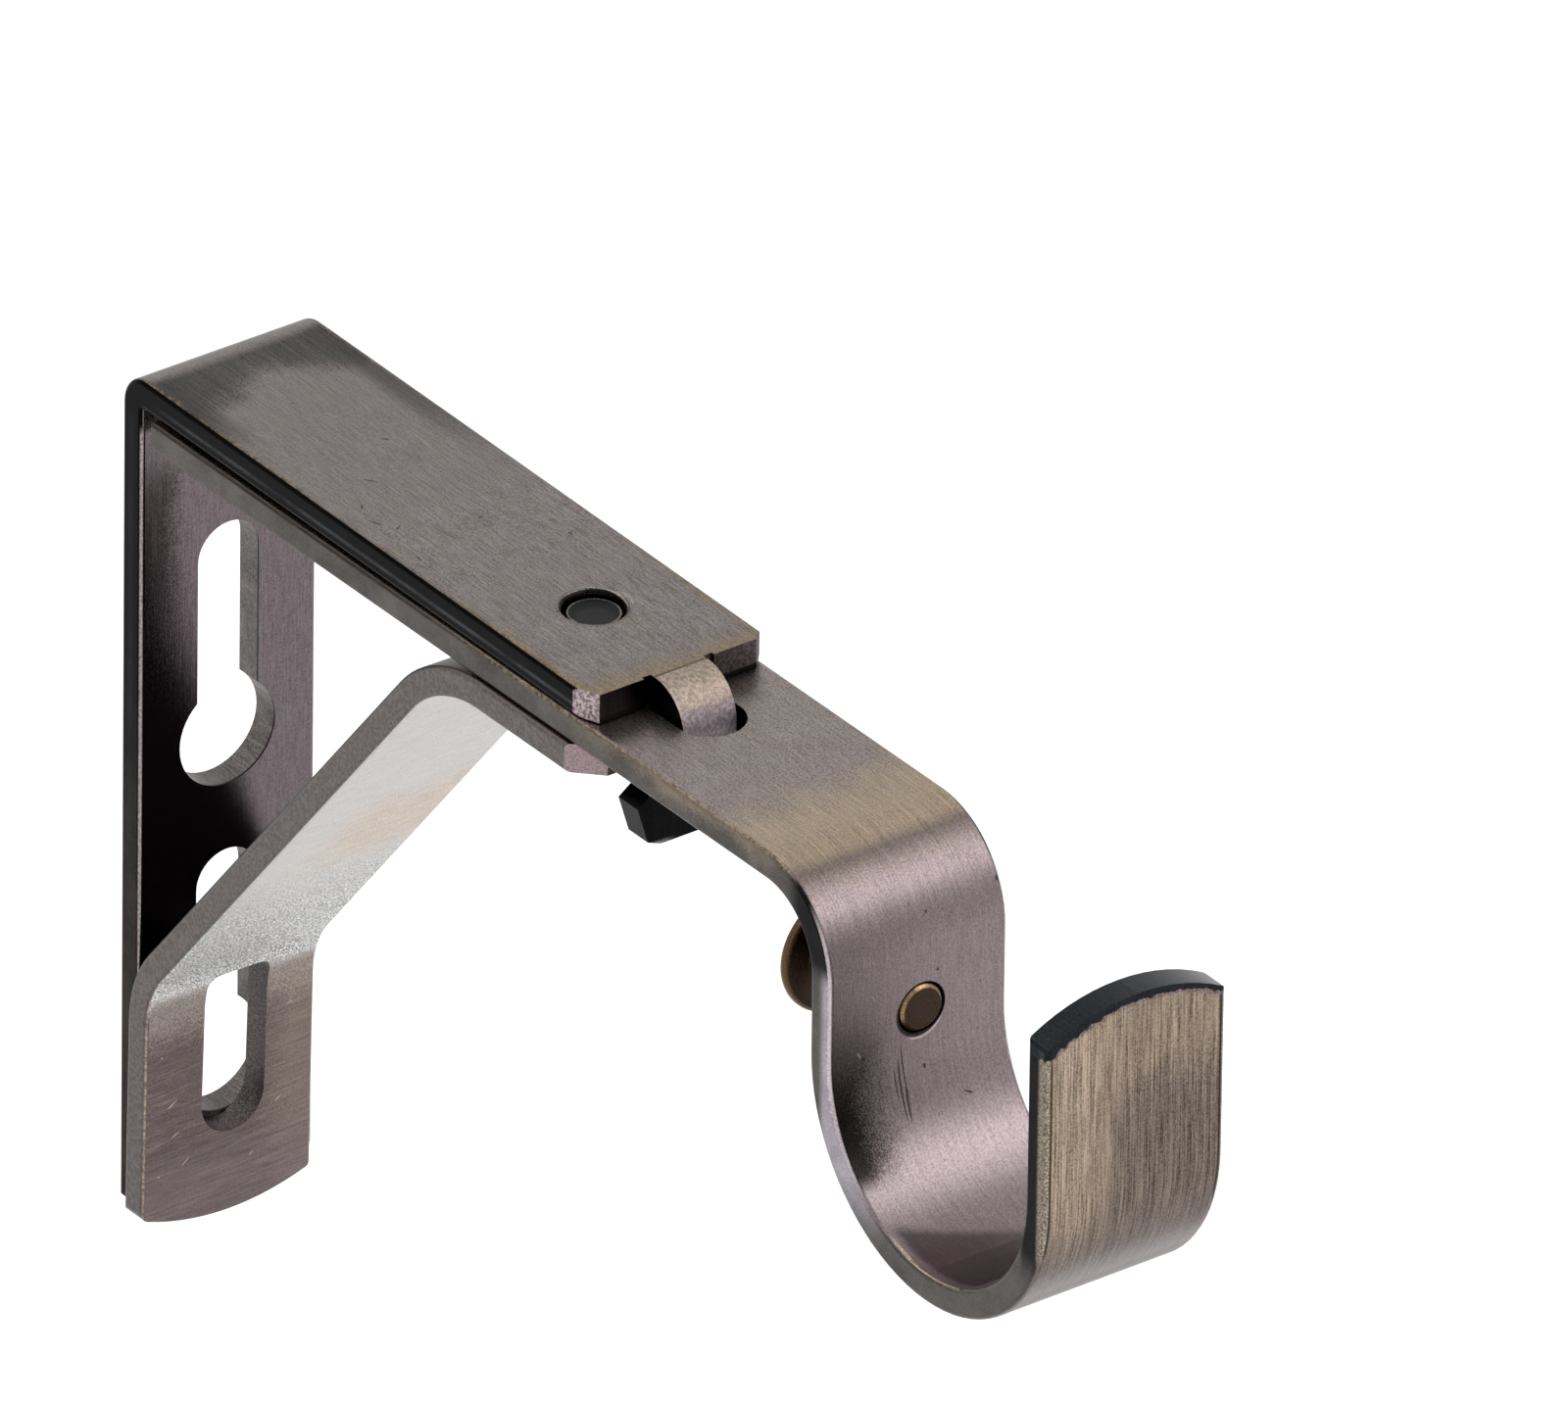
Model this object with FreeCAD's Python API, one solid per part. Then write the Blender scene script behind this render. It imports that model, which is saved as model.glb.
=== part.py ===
import FreeCAD, Part
import math
import os

# Adjustable curtain pole bracket, bent from flat steel strip, for one round pole.
# Frame: X points away from the wall, Y runs along the pole and Z is up, in millimetres.
# The origin lies on the wall face, on its middle line, midway between the two keyholes.

Vector = FreeCAD.Vector

# Strip that the wall arm, the cradle arm and the brace are bent from
strip_width = 20.3
strip_thickness = 3.0
strip_edge_radius = 0.5

# Wall arm
wall_plate_bottom = -39.0
arm_top_height = 50.3
arm_reach = 73.5
arm_droop_deg = 0.5
wall_bend_inner_radius = 0.4
near_corner_chamfer_length = 2.7
near_corner_chamfer_width = 1.1
far_corner_chamfer = 1.3

# Keyholes in the wall plate
keyhole_slot_width = 7.0
keyhole_head_radius = 5.5
keyhole_pitch = 35.4
keyhole_drop = 19.3
upper_seat_height = 28.3

# Tab at the arm's front end, bent down and ending in a wide head
tab_width = 6.0
tab_bend_start = 0.5
tab_bend_outer_radius = 4.4
tab_root_notch_depth = 0.35
tab_root_notch_width = 1.0
tab_head_width = 16.4
tab_head_slope_rise = 3.8
tab_head_side_height = 3.9
tab_head_lower_width = 14.0
tab_head_toe_width = 11.0
tab_head_toe_height = 0.6
tab_shoulder_clearance = 0.2

# Cradle arm that slides along the wall arm and carries the pole
slide_clearance = 0.15
cradle_rear_gap = 1.6
cradle_slot_width = 7.0
cradle_slot_rear_land = 7.4
cradle_slot_front_lead = 3.4
cradle_drop_reach = 32.3
cradle_bend_outer_radius = 10.0
pole_seat_radius = 15.0
pole_seat_height = 28.7
lip_top_height = 48.7
lip_crown_radius = 20.0
lip_corner_radius = 0.6

# Brace under the arms
brace_width = 19.6
brace_side_shift = 0.75
brace_skew_deg = 0.9
brace_seat_clearance = 0.05
brace_flange_clearance = 0.25
brace_foot_bend_radius = 11.5
brace_top_bend_radius = 14.0
brace_foot_corner_height = -14.2
brace_flange_length = 23.4
brace_front_setback = 0.5
brace_front_chamfer = 2.9
brace_bottom_height = -40.8
brace_bottom_crown_radius = 27.0
brace_bottom_corner_radius = 1.0
brace_slot_width = 7.2
brace_slot_top_height = -14.5
brace_slot_bottom_height = -32.3
brace_slot_corner_radius = 1.4
brace_slot_side_shift = 0.5
brace_slot_skew_deg = 0.8

# Clamp screw through the brace, the cradle arm's slot and the wall arm
clamp_screw_radius = 3.0
clamp_screw_setback = 13.2
clamp_screw_recess = 0.6
clamp_thread_clearance = 0.1
clamp_hole_countersink = 0.2
clamp_head_radius = 6.0
clamp_head_height = 3.4
clamp_head_round = 1.2
clamp_head_gap = 0.14
clamp_drive_width = 1.3
clamp_drive_length = 6.4
clamp_drive_depth = 1.9
screw_tip_chamfer = 0.45

# Thumb screw that presses on the pole
pole_screw_radius = 2.5
pole_screw_height = 31.1
pole_screw_side_shift = 0.4
pole_screw_protrusion = 0.2
pole_screw_back_length = 9.4
pole_thread_clearance = 0.08
pole_hole_countersink = 0.1
pole_head_radius = 6.3
pole_head_thickness = 1.2
pole_head_edge_round = 0.35
pole_collar_radius = 3.6
pole_collar_length = 1.2

# How far the cutting tools reach past what they cut, and where there is little room
overcut = 5.0
small_overcut = 1.0

# Heights and places that follow from the sizes above
half_width = strip_width / 2.0
half_thickness = strip_thickness / 2.0
droop = math.radians(arm_droop_deg)
arm_slope = math.tan(droop)
clamp_screw_x = arm_reach - clamp_screw_setback
tab_face_x = arm_reach + tab_bend_start + tab_bend_outer_radius
tab_middle_x = tab_face_x - half_thickness
arm_front_underside = arm_top_height - arm_reach * arm_slope - strip_thickness / math.cos(droop)
cradle_middle_height = arm_front_underside - slide_clearance - half_thickness
cradle_underside = cradle_middle_height - half_thickness
flange_middle_height = cradle_underside - brace_flange_clearance - half_thickness
flange_underside = flange_middle_height - half_thickness
tab_head_top = cradle_underside - tab_shoulder_clearance
tab_head_shoulder = tab_head_top - tab_head_slope_rise
tab_head_foot = tab_head_shoulder - tab_head_side_height
tab_toe_height = tab_head_foot - tab_head_toe_height
cradle_rear_x = strip_thickness + cradle_rear_gap
cradle_drop_face_x = tab_face_x + cradle_drop_reach
cradle_drop_middle_x = cradle_drop_face_x - half_thickness
cradle_slot_radius = cradle_slot_width / 2.0
pole_seat_x = cradle_drop_face_x + pole_seat_radius
lip_middle_x = pole_seat_x + pole_seat_radius + half_thickness
seat_bend_radius = pole_seat_radius + half_thickness
brace_back_x = strip_thickness + brace_seat_clearance
brace_front_x = arm_reach - brace_front_setback
lower_seat_height = upper_seat_height - keyhole_pitch
through_strip = strip_thickness + 2.0 * small_overcut


def point(x, z):
    """A point in the plane in which the strips are bent."""
    return Vector(x, 0.0, z)


def direction(start, end):
    """Unit vector from one point to another."""
    step = end - start
    return step.multiply(1.0 / step.Length)


def left_of(heading):
    """Unit vector to the left of a heading in the XZ plane."""
    return Vector(-heading.z, 0.0, heading.x)


def strip_side(corners, radii, offset):
    """Lines and tangent arcs of one side of a bent strip, with its two end points."""
    first = corners[0] + left_of(direction(corners[0], corners[1])) * offset
    here = first
    edges = []
    for index, radius in enumerate(radii, start=1):
        corner = corners[index]
        heading_in = direction(corners[index - 1], corner)
        heading_out = direction(corner, corners[index + 1])
        turn = heading_in.x * heading_out.z - heading_in.z * heading_out.x
        side = math.copysign(1.0, turn)
        run = radius * math.tan(heading_in.getAngle(heading_out) / 2.0)
        centre = corner - heading_in * run + left_of(heading_in) * (radius * side)
        outward = direction(centre, corner)
        arc_start = corner - heading_in * run + left_of(heading_in) * offset
        arc_middle = centre + outward * (radius - side * offset)
        arc_end = corner + heading_out * run + left_of(heading_out) * offset
        if (arc_start - here).Length > 1e-6:
            edges.append(Part.LineSegment(here, arc_start).toShape())
        edges.append(Part.Arc(arc_start, arc_middle, arc_end).toShape())
        here = arc_end
    last = corners[-1] + left_of(direction(corners[-2], corners[-1])) * offset
    edges.append(Part.LineSegment(here, last).toShape())
    return edges, first, last


def bent_strip(corners, radii, width=strip_width):
    """A strip bent along the middle line through these corners, with its long edges rounded."""
    left, left_first, left_last = strip_side(corners, radii, half_thickness)
    right, right_first, right_last = strip_side(corners, radii, -half_thickness)
    caps = [
        Part.LineSegment(left_first, right_first).toShape(),
        Part.LineSegment(left_last, right_last).toShape(),
    ]
    outline = Part.Wire(Part.__sortEdges__(left + right + caps))
    face = Part.Face(outline)
    face.translate(Vector(0.0, -width / 2.0, 0.0))
    solid = face.extrude(Vector(0.0, width, 0.0))
    long_edges = []
    for edge in solid.Edges:
        middle = edge.BoundBox.Center
        on_side = edge.BoundBox.YLength < 1e-6
        at_cap = min((point(middle.x, middle.z) - end).Length for end in (corners[0], corners[-1])) < 1e-3
        if on_side and not at_cap:
            long_edges.append(edge)
    return solid.makeFillet(strip_edge_radius, long_edges)


def polygon_prism(points, depth):
    """A prism on a flat polygon, drawn out along the vector depth."""
    return Part.Face(Part.makePolygon(points + [points[0]])).extrude(depth)


def slot_prism(start, end, radius, depth):
    """A round-ended slot between two centres, drawn out along the vector depth."""
    along = direction(start, end)
    across = direction(Vector(0, 0, 0), along.cross(depth)) * radius
    edges = [
        Part.LineSegment(start + across, end + across).toShape(),
        Part.Arc(end + across, end + along * radius, end - across).toShape(),
        Part.LineSegment(end - across, start - across).toShape(),
        Part.Arc(start - across, start - along * radius, start + across).toShape(),
    ]
    return Part.Face(Part.Wire(edges)).extrude(depth)


def foot_slot_cutter():
    """Slot for the lower wall screw: round below, flat with small corners where it runs into the bend."""
    x = brace_back_x - small_overcut
    half_slot = brace_slot_width / 2.0
    low = brace_slot_bottom_height + half_slot
    corner_y = half_slot - brace_slot_corner_radius
    corner_z = brace_slot_top_height - brace_slot_corner_radius
    reach = brace_slot_corner_radius * math.sqrt(0.5)

    def at(y, z):
        return Vector(x, y, z)

    edges = [
        Part.LineSegment(at(-half_slot, low), at(-half_slot, corner_z)).toShape(),
        Part.Arc(at(-half_slot, corner_z), at(-corner_y - reach, corner_z + reach),
                 at(-corner_y, brace_slot_top_height)).toShape(),
        Part.LineSegment(at(-corner_y, brace_slot_top_height), at(corner_y, brace_slot_top_height)).toShape(),
        Part.Arc(at(corner_y, brace_slot_top_height), at(corner_y + reach, corner_z + reach),
                 at(half_slot, corner_z)).toShape(),
        Part.LineSegment(at(half_slot, corner_z), at(half_slot, low)).toShape(),
        Part.Arc(at(half_slot, low), at(0, brace_slot_bottom_height), at(-half_slot, low)).toShape(),
    ]
    cutter = Part.Face(Part.Wire(edges)).extrude(Vector(strip_thickness + overcut, 0, 0))
    cutter.rotate(at(0, low), Vector(1, 0, 0), -brace_slot_skew_deg)
    cutter.translate(Vector(0, brace_slot_side_shift, 0))
    return cutter


def rounded_end_cutter(x_low, x_high, tip_height, crown_radius, corner_radius, outward, width=strip_width):
    """What lies beyond a strip end with a shallow crown and rounded corners; outward is 1 or -1."""
    side_y = width / 2.0
    corner_y = side_y - corner_radius
    corner_depth = crown_radius - math.sqrt((crown_radius - corner_radius) ** 2 - corner_y ** 2)
    share = crown_radius / (crown_radius - corner_radius)
    join_y = corner_y * share
    join_depth = crown_radius - (crown_radius - corner_depth) * share
    heading = math.atan2(join_depth - corner_depth, join_y - corner_y) / 2.0
    middle_y = corner_y + corner_radius * math.cos(heading)
    middle_depth = corner_depth + corner_radius * math.sin(heading)

    def at(y, depth):
        return Vector(x_low, y, tip_height - outward * depth)

    edges = [
        Part.LineSegment(at(-side_y - overcut, corner_depth), at(-side_y, corner_depth)).toShape(),
        Part.Arc(at(-side_y, corner_depth), at(-middle_y, middle_depth), at(-join_y, join_depth)).toShape(),
        Part.Arc(at(-join_y, join_depth), at(0, 0), at(join_y, join_depth)).toShape(),
        Part.Arc(at(join_y, join_depth), at(middle_y, middle_depth), at(side_y, corner_depth)).toShape(),
        Part.LineSegment(at(side_y, corner_depth), at(side_y + overcut, corner_depth)).toShape(),
        Part.LineSegment(at(side_y + overcut, corner_depth), at(side_y + overcut, -overcut)).toShape(),
        Part.LineSegment(at(side_y + overcut, -overcut), at(-side_y - overcut, -overcut)).toShape(),
        Part.LineSegment(at(-side_y - overcut, -overcut), at(-side_y - overcut, corner_depth)).toShape(),
    ]
    return Part.Face(Part.Wire(edges)).extrude(Vector(x_high - x_low, 0, 0))


def keyhole(seat_height):
    """Cutter for a keyhole: a slot for the shank above a round hole for the screw's head."""
    depth = Vector(strip_thickness + 2.0 * overcut, 0, 0)
    seat = Vector(-overcut, 0, seat_height)
    entry = Vector(-overcut, 0, seat_height - keyhole_drop)
    slot = slot_prism(seat, entry, keyhole_slot_width / 2.0, depth)
    entry_hole = Part.makeCylinder(keyhole_head_radius, depth.x, entry, Vector(1, 0, 0))
    return slot.fuse(entry_hole)


def arm_plan():
    """Prism over the wall arm's outline seen from above: chamfered corners, root notches and tab."""
    low = wall_plate_bottom - overcut
    half_tab = tab_width / 2.0
    notch = half_tab + tab_root_notch_width
    notch_x = arm_reach - tab_root_notch_depth
    far = tab_face_x + overcut
    outline = [
        (-overcut, -half_width),
        (arm_reach - near_corner_chamfer_length, -half_width),
        (arm_reach, near_corner_chamfer_width - half_width),
        (arm_reach, -notch),
        (notch_x, -notch),
        (notch_x, -half_tab),
        (far, -half_tab),
        (far, half_tab),
        (notch_x, half_tab),
        (notch_x, notch),
        (arm_reach, notch),
        (arm_reach, half_width - far_corner_chamfer),
        (arm_reach - far_corner_chamfer, half_width),
        (-overcut, half_width),
    ]
    points = [Vector(x, y, low) for x, y in outline]
    return polygon_prism(points, Vector(0, 0, arm_top_height - low + overcut))


def tab_head():
    """Prism over the outline of the tab's wide head, seen from the front."""
    x = tab_face_x - strip_thickness - small_overcut
    half_outline = [
        (tab_width / 2.0, tab_head_top + small_overcut),
        (tab_width / 2.0, tab_head_top),
        (tab_head_width / 2.0, tab_head_shoulder),
        (tab_head_lower_width / 2.0, tab_head_foot),
        (tab_head_toe_width / 2.0, tab_toe_height),
    ]
    points = [Vector(x, y, z) for y, z in half_outline]
    points += [Vector(x, -y, z) for y, z in reversed(half_outline)]
    return polygon_prism(points, Vector(through_strip, 0, 0))


def make_wall_arm():
    """Wall plate, top arm and tab, bent from one strip."""
    wall_middle = half_thickness
    arm_middle = arm_top_height - half_thickness / math.cos(droop)
    corners = [
        point(wall_middle, wall_plate_bottom),
        point(wall_middle, arm_middle - wall_middle * arm_slope),
        point(tab_middle_x, arm_middle - tab_middle_x * arm_slope),
        point(tab_middle_x, tab_toe_height),
    ]
    radii = [wall_bend_inner_radius + half_thickness, tab_bend_outer_radius - half_thickness]
    strip = bent_strip(corners, radii)
    body = strip.common(arm_plan().fuse(tab_head()))
    for seat_height in (upper_seat_height, lower_seat_height):
        body = body.cut(keyhole(seat_height))
    hole_start = Vector(clamp_screw_x, 0, cradle_middle_height)
    hole_radius = clamp_screw_radius + clamp_thread_clearance
    hole = Part.makeCylinder(hole_radius, arm_top_height - hole_start.z + overcut, hole_start, Vector(0, 0, 1))
    mouth_height = arm_top_height - clamp_screw_x * arm_slope - clamp_hole_countersink
    mouth = Part.makeCone(
        hole_radius, hole_radius + 2.0 * clamp_hole_countersink, 2.0 * clamp_hole_countersink,
        Vector(clamp_screw_x, 0, mouth_height), Vector(0, 0, 1))
    return body.cut(hole).cut(mouth)


def make_cradle_arm():
    """Slotted arm, bent down and round into an open cradle for the pole."""
    bottom_middle = pole_seat_height - seat_bend_radius
    corners = [
        point(cradle_rear_x, cradle_middle_height),
        point(cradle_drop_middle_x, cradle_middle_height),
        point(cradle_drop_middle_x, bottom_middle),
        point(lip_middle_x, bottom_middle),
        point(lip_middle_x, lip_top_height),
    ]
    radii = [cradle_bend_outer_radius - half_thickness, seat_bend_radius, seat_bend_radius]
    body = bent_strip(corners, radii)
    depth = Vector(0, 0, through_strip)
    slot_height = cradle_underside - small_overcut
    rear_centre = Vector(cradle_rear_x + cradle_slot_rear_land + cradle_slot_radius, 0, slot_height)
    front_centre = Vector(tab_face_x + cradle_slot_front_lead - cradle_slot_radius, 0, slot_height)
    body = body.cut(slot_prism(rear_centre, front_centre, cradle_slot_radius, depth))
    hole_radius = pole_screw_radius + pole_thread_clearance
    back_x = cradle_drop_face_x - strip_thickness
    hole_start = Vector(back_x - small_overcut, pole_screw_side_shift, pole_screw_height)
    body = body.cut(Part.makeCylinder(hole_radius, through_strip, hole_start, Vector(1, 0, 0)))
    mouth_start = Vector(cradle_drop_face_x - pole_hole_countersink, pole_screw_side_shift, pole_screw_height)
    mouth = Part.makeCone(
        hole_radius, hole_radius + 2.0 * pole_hole_countersink, 2.0 * pole_hole_countersink,
        mouth_start, Vector(1, 0, 0))
    body = body.cut(mouth)
    lip_start = lip_middle_x - half_thickness - small_overcut
    lip_end = lip_middle_x + half_thickness + small_overcut
    return body.cut(rounded_end_cutter(
        lip_start, lip_end, lip_top_height, lip_crown_radius, lip_corner_radius, 1.0))


def make_brace():
    """Diagonal strip from the wall plate's foot to the clamp screw."""
    foot_middle_x = brace_back_x + half_thickness
    corners = [
        point(foot_middle_x, brace_bottom_height),
        point(foot_middle_x, brace_foot_corner_height),
        point(brace_front_x - brace_flange_length, flange_middle_height),
        point(brace_front_x, flange_middle_height),
    ]
    body = bent_strip(corners, [brace_foot_bend_radius, brace_top_bend_radius], brace_width)
    body = body.cut(foot_slot_cutter())
    low = flange_underside - small_overcut
    half_brace = brace_width / 2.0
    for side in (-1.0, 1.0):
        corner = [
            Vector(brace_front_x - brace_front_chamfer, side * half_brace, low),
            Vector(brace_front_x, side * (half_brace - brace_front_chamfer), low),
            Vector(brace_front_x + overcut, side * half_brace, low),
            Vector(brace_front_x, side * (half_brace + overcut), low),
        ]
        body = body.cut(polygon_prism(corner, Vector(0, 0, through_strip)))
    end_x = brace_back_x + strip_thickness
    body = body.cut(rounded_end_cutter(
        brace_back_x - small_overcut, end_x + small_overcut, brace_bottom_height,
        brace_bottom_crown_radius, brace_bottom_corner_radius, -1.0, brace_width))
    body.translate(Vector(0, -brace_side_shift, 0))
    body.rotate(Vector(0, 0, flange_middle_height), Vector(1, 0, 0), -brace_skew_deg)
    hole_radius = clamp_screw_radius + brace_side_shift + clamp_thread_clearance
    hole_start = Vector(clamp_screw_x, -brace_side_shift, low)
    return body.cut(Part.makeCylinder(hole_radius, through_strip, hole_start, Vector(0, 0, 1)))


def revolved(profile, start, axis, side):
    """Solid of revolution from (distance along the axis, radius) pairs."""
    points = [start + axis * along + side * radius for along, radius in profile]
    return Part.Face(Part.makePolygon(points + [points[0]])).revolve(start, axis, 360.0)


def make_clamp_screw():
    """Pan head screw, entered from below, with a cross recess."""
    shank_top = arm_top_height - clamp_screw_x * arm_slope - clamp_screw_recess
    head_top = flange_underside - clamp_head_gap
    start = Vector(clamp_screw_x, 0, head_top)
    length = shank_top - head_top
    shank = revolved(
        [(0, 0), (0, clamp_screw_radius), (length - screw_tip_chamfer, clamp_screw_radius),
         (length, clamp_screw_radius - screw_tip_chamfer), (length, 0)],
        start, Vector(0, 0, 1), Vector(1, 0, 0))
    head = Part.makeCylinder(clamp_head_radius, clamp_head_height, start, Vector(0, 0, -1))
    lower_rim = [edge for edge in head.Edges if edge.BoundBox.ZMax < head_top - clamp_head_height + 1e-3]
    head = head.makeFillet(clamp_head_round, lower_rim)
    recess_low = head_top - clamp_head_height - small_overcut
    body = head.fuse(shank)
    for size_x, size_y in ((clamp_drive_length, clamp_drive_width), (clamp_drive_width, clamp_drive_length)):
        corner = Vector(clamp_screw_x - size_x / 2.0, -size_y / 2.0, recess_low)
        body = body.cut(Part.makeBox(size_x, size_y, clamp_drive_depth + small_overcut, corner))
    return body


def make_pole_screw():
    """Thumb screw with a thin round head, screwed through the cradle arm towards the pole."""
    tip_x = cradle_drop_face_x + pole_screw_protrusion
    head_front_x = cradle_drop_face_x - strip_thickness - pole_screw_back_length
    start = Vector(head_front_x - pole_head_thickness, pole_screw_side_shift, pole_screw_height)
    collar_end = pole_head_thickness + pole_collar_length
    length = tip_x - start.x
    edge = pole_head_edge_round
    profile = [
        (0, 0),
        (0, pole_head_radius - edge),
        (edge, pole_head_radius),
        (pole_head_thickness - edge, pole_head_radius),
        (pole_head_thickness, pole_head_radius - edge),
        (pole_head_thickness, pole_collar_radius),
        (collar_end, pole_collar_radius - edge),
        (collar_end, pole_screw_radius),
        (length - screw_tip_chamfer, pole_screw_radius),
        (length, pole_screw_radius - screw_tip_chamfer),
        (length, 0),
    ]
    return revolved(profile, start, Vector(1, 0, 0), Vector(0, 0, 1))


pieces = {
    "wall_arm": make_wall_arm,
    "cradle_arm": make_cradle_arm,
    "brace": make_brace,
    "clamp_screw": make_clamp_screw,
    "pole_screw": make_pole_screw,
}

os.makedirs("parts", exist_ok=True)
for name, make in pieces.items():
    shape = make()
    solids = shape.Solids
    if len(solids) != 1 or not shape.isValid():
        raise RuntimeError(name + " is not one sound solid")
    solids[0].exportStep("parts/" + name + ".step")
    box = solids[0].BoundBox
    print(name, "%.1f cm3" % (solids[0].Volume / 1000.0),
          "X %.2f to %.2f" % (box.XMin, box.XMax),
          "Y %.2f to %.2f" % (box.YMin, box.YMax),
          "Z %.2f to %.2f" % (box.ZMin, box.ZMax))
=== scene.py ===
import bpy
import math
from mathutils import Matrix, Vector


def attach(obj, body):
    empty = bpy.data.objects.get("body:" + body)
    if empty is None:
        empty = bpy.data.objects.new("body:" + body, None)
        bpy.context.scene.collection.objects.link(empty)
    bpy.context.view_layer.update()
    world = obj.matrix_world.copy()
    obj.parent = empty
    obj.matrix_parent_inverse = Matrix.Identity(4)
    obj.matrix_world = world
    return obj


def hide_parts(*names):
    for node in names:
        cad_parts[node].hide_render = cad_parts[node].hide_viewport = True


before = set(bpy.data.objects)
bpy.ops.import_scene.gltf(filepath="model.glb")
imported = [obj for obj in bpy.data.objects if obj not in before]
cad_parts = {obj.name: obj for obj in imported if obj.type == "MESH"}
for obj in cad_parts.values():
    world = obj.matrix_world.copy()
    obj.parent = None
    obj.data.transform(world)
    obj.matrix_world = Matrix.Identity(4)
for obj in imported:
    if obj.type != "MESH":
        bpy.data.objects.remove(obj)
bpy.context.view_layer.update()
print("frame loaded")


# colours and nodes


def linearColour(hexText):
    # sRGB hex text to the linear colour that Blender's sockets take
    channels = []
    for start in (1, 3, 5):
        value = int(hexText[start:start + 2], 16) / 255
        channels.append(value / 12.92 if value <= 0.04045 else ((value + 0.055) / 1.055) ** 2.4)
    return (*channels, 1.0)


def addNode(material, kind, values=None, **settings):
    # values go to the sockets by name or number: a socket is linked, a hex text is a colour
    node = material.node_tree.nodes.new("ShaderNode" + kind)
    for name, setting in settings.items():
        setattr(node, name, setting)
    for name, value in (values or {}).items():
        if isinstance(value, bpy.types.NodeSocket):
            material.node_tree.links.new(value, node.inputs[name])
        elif isinstance(value, str):
            node.inputs[name].default_value = linearColour(value)
        else:
            node.inputs[name].default_value = value
    return node


def calculate(material, operation, *terms):
    return addNode(material, "Math", dict(enumerate(terms)), operation=operation).outputs[0]


def blend(material, share, first, second):
    return addNode(material, "Mix", {0: share, 2: first, 3: second}, data_type="FLOAT").outputs[0]


def blendColours(material, share, first, second):
    return addNode(material, "Mix", {0: share, 6: first, 7: second}, data_type="RGBA").outputs[2]


def newMaterial(name):
    material = bpy.data.materials.new(name)
    material.use_nodes = True
    material.node_tree.nodes.clear()
    return material


# bronzed steel and the screws' finishes

# features per millimetre along and across the brushing; turned ones follow a look's brushTurn
noises = {
    "grain": {"along": 0.30, "across": 6.0, "detail": 6.0, "roughness": 0.7, "turned": True},
    "streaks": {"along": 0.13, "across": 5.6, "detail": 8.0, "roughness": 0.75, "turned": True},
    "scratches": {"along": 0.22, "across": 3.4, "detail": 1.0, "roughness": 0.5, "turned": True},
    "tarnish": {"along": 0.16, "across": 0.55, "detail": 5.0, "roughness": 0.65, "turned": False},
    "speckle": {"along": 5.5, "across": 5.5, "detail": 3.0, "roughness": 0.7, "turned": False},
    "patches": {"along": 0.16, "across": 0.16, "detail": 4.0, "roughness": 0.6, "turned": False},
    "pits": {"along": 1.5, "across": 1.5, "detail": 2.0, "roughness": 0.5, "turned": False},
    "grit": {"along": 2.6, "across": 2.6, "detail": 4.0, "roughness": 0.75, "turned": False},
}

# places whose border wanders: the field and how far, in millimetres
raggedFields = {
    "raggedX": ("x", 5.0), "raggedY": ("y", 5.0), "raggedOutward": ("outward", 1.8), "raggedZ": ("z", 5.0),
}

# part of each noise that goes from a zone's dark tone to its pale one, and shares used in every finish
toneRanges = {"grain": (0.40, 0.60), "streaks": (0.40, 0.60), "sparkle": (0.38, 0.64), "grit": (0.42, 0.60)}
streakSpeckle = 0.35
streakHeight = 0.5
roughnessSpread = (0.85, 1.15)
mmPerMetre = 1000.0
noiseScale = 1.0
metal = 1.0


def noiseField(material, vector, density, detail, roughness):
    spread = addNode(material, "VectorMath", {0: vector, 1: density}, operation="MULTIPLY").outputs[0]
    noise = addNode(material, "TexNoise", {
        "Vector": spread, "Scale": noiseScale, "Detail": detail, "Roughness": roughness})
    return noise.outputs[0]


def spotField(material, mm, spots):
    # distance from the nearest of these spots: each has a centre, half sizes and a turn about X or Z
    nearest = None
    for centre, halfSizes, axis, degrees in spots:
        apart = addNode(material, "VectorMath", {0: mm, 1: centre}, operation="SUBTRACT").outputs[0]
        if degrees:
            turn = {"Vector": apart, "Angle": math.radians(degrees)}
            apart = addNode(material, "VectorRotate", turn, rotation_type=axis).outputs[0]
        shares = addNode(material, "VectorMath", {0: apart, 1: halfSizes}, operation="DIVIDE").outputs[0]
        away = addNode(material, "VectorMath", {0: shares}, operation="LENGTH").outputs[1]
        nearest = away if nearest is None else calculate(material, "MINIMUM", nearest, away)
    return nearest


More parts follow.
